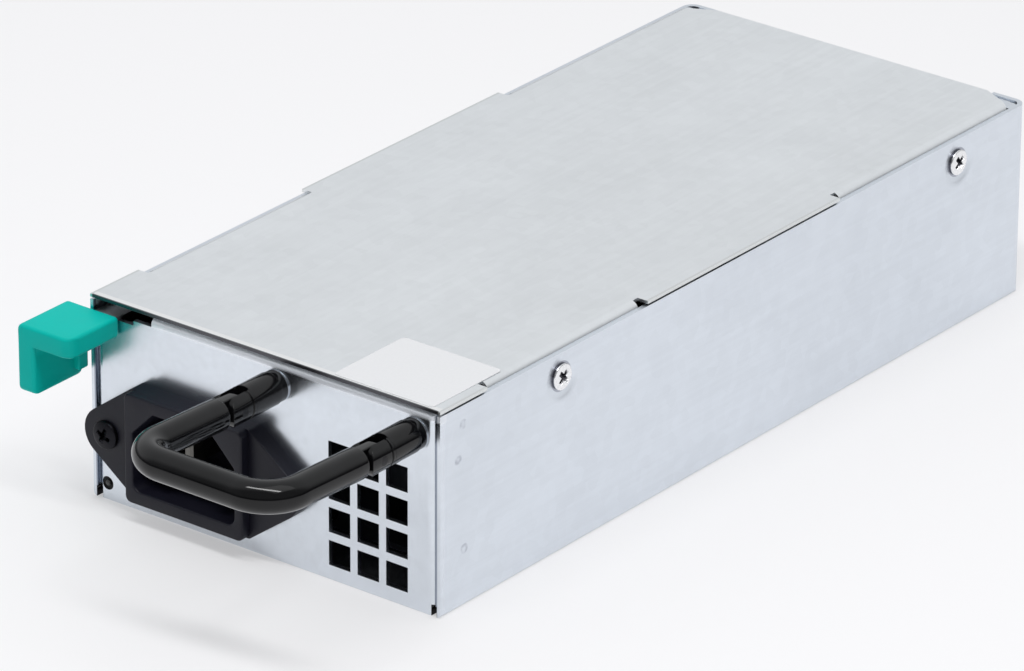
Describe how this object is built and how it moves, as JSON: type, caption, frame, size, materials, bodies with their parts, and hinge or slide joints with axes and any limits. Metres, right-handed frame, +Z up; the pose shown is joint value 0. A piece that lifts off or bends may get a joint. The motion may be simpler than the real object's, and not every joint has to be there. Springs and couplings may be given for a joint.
{
  "type": "hot swap server power supply",
  "caption": "Long sheet-metal power module with a mains inlet, square vents, a folding bail handle and a green side latch on its front, and a card-edge tongue at its rear.",
  "frame": {"origin": "centre of the case's bottom face, on the surface it rests on", "axes": "+Z up, +Y along the case from the inlet's panel to the rear tongue, +X to the right of someone facing the inlet's panel"},
  "size_m": [0.088, 0.2348, 0.0411],
  "materials": {
    "zinc_steel": "zinc-plated sheet, satin",
    "screw_steel": "zinc-plated screws",
    "screw_black": "black oxide screws",
    "rivet_steel": "plain steel",
    "spring_steel": "rolled spring steel",
    "label_stock": "blank white film",
    "inlet_black": "moulded, semi-gloss",
    "handle_black": "powder coated, semi-gloss",
    "pin_steel": "turned steel",
    "latch_green": "moulded, fine satin",
    "pin_nickel": "nickel-plated brass",
    "contact_gold": "gold-plated",
    "led_lens": "milky light pipe",
    "fan_black": "moulded",
    "lamination": "lacquered stack with enamelled coils",
    "board_green": "glass laminate with solder mask",
    "insulation": "thin film",
    "ferrite": "sintered, dull",
    "choke_core": "coated ring",
    "copper_wire": "enamelled copper",
    "winding_tape": "polyester tape",
    "can_sleeve": "shrunk sleeve",
    "fin_aluminium": "extruded, satin",
    "package_black": "moulded",
    "film_capacitor": "moulded box",
    "fuse_glass": "glass tube with plated caps",
    "wire_cover": "insulated wire"
  },
  "bodies": {
    "chassis": {"case_base": "zinc_steel", "top_cover": "zinc_steel", "rear_panel": "zinc_steel", "cover_screws": "screw_steel", "rear_screws": "screw_steel", "label_sheet": "label_stock", "inlet_housing": "inlet_black", "inlet_pins": "pin_nickel", "inlet_screws": "screw_black", "status_led": "led_lens", "handle_socket_left": "handle_black", "handle_socket_right": "handle_black", "handle_pins": "pin_steel", "latch_root": "spring_steel", "latch_root_rivets": "rivet_steel", "fan_frame": "fan_black", "fan_stator": "lamination", "fan_bracket": "zinc_steel", "fan_screws": "screw_steel", "main_board": "board_green", "card_contacts": "contact_gold", "insulation_sheet": "insulation", "board_standoffs": "screw_steel", "board_screws": "screw_steel", "noise_choke_core": "choke_core", "noise_choke_windings": "copper_wire", "boost_choke_core": "choke_core", "boost_choke_winding": "copper_wire", "output_choke_core": "choke_core", "output_choke_winding": "copper_wire", "fuse": "fuse_glass", "line_capacitor": "film_capacitor", "relay": "package_black", "bulk_capacitor": "can_sleeve", "output_capacitors": "can_sleeve", "primary_heat_sink": "fin_aluminium", "primary_transistors": "package_black", "secondary_heat_sink": "fin_aluminium", "secondary_transistors": "package_black", "transformer_core": "ferrite", "transformer_windings": "winding_tape", "transformer_base": "package_black", "control_board": "board_green", "control_chips": "package_black", "inlet_wires": "wire_cover"},
    "handle": {"handle_bail": "handle_black"},
    "latch": {"latch_pad": "latch_green", "latch_leaf": "spring_steel", "latch_tooth": "rivet_steel", "latch_rivets": "rivet_steel"},
    "fan_rotor": {"fan_impeller": "fan_black", "fan_shaft": "pin_steel"}
  },
  "joints": [
    {"name": "handle_fold", "type": "hinge", "parent": "chassis", "child": "handle", "pos_m": [0.0192, -0.10415, 0.0353], "axis": [1, 0, 0], "range_deg": [0, 92]},
    {"name": "latch_press", "type": "hinge", "parent": "chassis", "child": "latch", "pos_m": [-0.03945, -0.03375, 0.0255], "axis": [0, 0, 1], "range_deg": [0, 2.75], "stiffness_Nm_per_rad": 6},
    {"name": "fan_spin", "type": "hinge", "parent": "chassis", "child": "fan_rotor", "pos_m": [0.0198, -0.06275, 0.0202], "axis": [0, 1, 0], "continuous": true}
  ]
}
